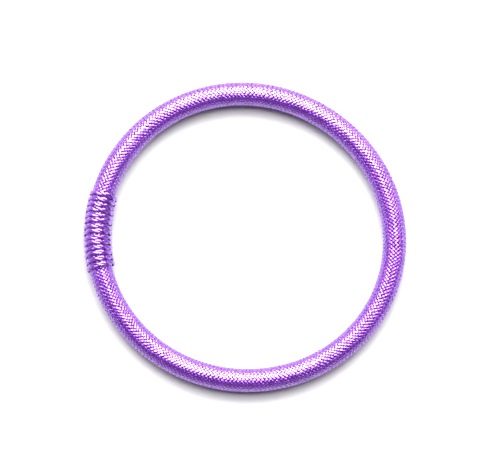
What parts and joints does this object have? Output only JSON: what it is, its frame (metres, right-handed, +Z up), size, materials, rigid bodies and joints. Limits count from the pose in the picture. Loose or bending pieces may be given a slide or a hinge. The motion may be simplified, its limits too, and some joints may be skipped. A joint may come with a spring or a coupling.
{
  "type": "covered elastic loop",
  "caption": "Endless round loop of elastic cord in a braided metallic yarn cover, its ends butted, glued and whipped with plied yarn. It stretches to go round something and grip it.",
  "frame": {"origin": "under the middle of the loop's box, on the surface it lies on", "axes": "+Z up, out of the plane of the loop; -X through the whipped joint; the far half draws away along +X"},
  "size_m": [0.0554, 0.053, 0.0048],
  "materials": {
    "cover_yarn": "braided metallic yarn, satin lustre",
    "whipping_yarn": "two-ply metallic yarn, wound tight",
    "rubber": "natural rubber thread, matt",
    "glue": "set adhesive"
  },
  "bodies": {
    "joint_half": {"braided_cover_first_end": "cover_yarn", "braided_cover_second_end": "cover_yarn", "rubber_thread_1_first_end": "rubber", "rubber_thread_2_first_end": "rubber", "rubber_thread_3_first_end": "rubber", "rubber_thread_4_first_end": "rubber", "rubber_thread_5_first_end": "rubber", "rubber_thread_6_first_end": "rubber", "rubber_thread_7_first_end": "rubber", "rubber_thread_1_second_end": "rubber", "rubber_thread_2_second_end": "rubber", "rubber_thread_3_second_end": "rubber", "rubber_thread_4_second_end": "rubber", "rubber_thread_5_second_end": "rubber", "rubber_thread_6_second_end": "rubber", "rubber_thread_7_second_end": "rubber", "butt_joint_glue": "glue", "whipping_yarn": "whipping_yarn"},
    "far_half": {"braided_cover_far": "cover_yarn", "rubber_thread_1_far": "rubber", "rubber_thread_2_far": "rubber", "rubber_thread_3_far": "rubber", "rubber_thread_4_far": "rubber", "rubber_thread_5_far": "rubber", "rubber_thread_6_far": "rubber", "rubber_thread_7_far": "rubber"}
  },
  "joints": [
    {"name": "loop_stretch", "type": "slide", "parent": "joint_half", "child": "far_half", "axis": [1, 0, 0], "range_m": [0, 0.03], "stiffness_N_per_m": 150}
  ]
}
